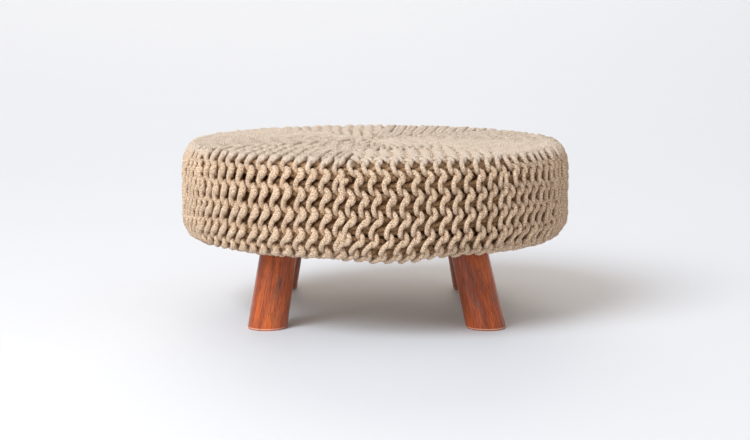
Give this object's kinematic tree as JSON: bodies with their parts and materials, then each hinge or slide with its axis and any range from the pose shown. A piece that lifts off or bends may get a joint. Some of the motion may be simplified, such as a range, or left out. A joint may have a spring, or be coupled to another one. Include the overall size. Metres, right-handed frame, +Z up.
{
  "type": "knitted pouf on wooden legs",
  "caption": "Low round pouf: a flat filled cushion in a chunky garter-stitch cover knitted in wedges, on splayed turned wooden legs.",
  "frame": {"origin": "on the floor, under the middle of the cushion", "axes": "+Z up, -Y towards the camera's side of the picture (the front), +X to the right seen from the front"},
  "size_m": [0.8, 0.7998, 0.3584],
  "materials": {
    "knitted_cotton": "matte, hand-knitted thick cotton cord in warm beige",
    "lacquered_wood": "clear satin-gloss lacquer over reddish brown hardwood, grain along the leg"
  },
  "bodies": {
    "root": {"knitted_cushion": "knitted_cotton", "leg_front_left": "lacquered_wood", "leg_front_right": "lacquered_wood", "leg_back_left": "lacquered_wood", "leg_back_right": "lacquered_wood"}
  },
  "joints": []
}
